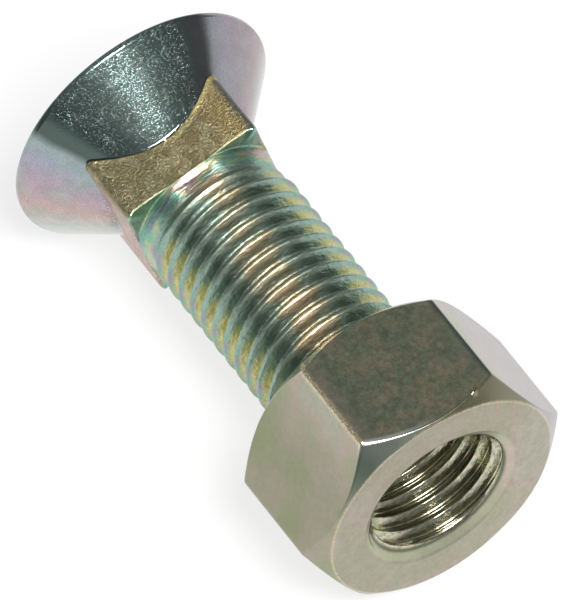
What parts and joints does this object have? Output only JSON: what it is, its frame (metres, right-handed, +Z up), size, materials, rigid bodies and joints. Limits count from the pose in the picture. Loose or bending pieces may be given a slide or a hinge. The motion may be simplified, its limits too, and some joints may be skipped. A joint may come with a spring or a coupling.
{
  "type": "plow bolt",
  "caption": "Flat countersunk bolt with a square neck and a hexagon nut, for clamping a wear edge, share or blade so that its face stays flush.",
  "frame": {"origin": "centre of the footprint's bounding box, on the surface that the bolt lies on", "axes": "+X from the head towards the nut, +Z up. The bolt lies on the rim of its head and on one flat of the nut, so its axis drops by 1.7 degrees towards the nut"},
  "size_m": [0.0688, 0.0368, 0.036],
  "materials": {
    "bolt_plating": "yellow chromate on zinc, iridescent from green to gold and pink",
    "nut_plating": "yellow chromate on zinc, satin and slightly mottled"
  },
  "bodies": {
    "bolt": {"bolt": "bolt_plating"},
    "nut": {"nut": "nut_plating"}
  },
  "joints": [
    {"name": "nut_travel", "type": "slide", "parent": "bolt", "child": "nut", "axis": [0.9996, 0, -0.0299], "range_m": [-0.0275, 0.0025]}
  ]
}
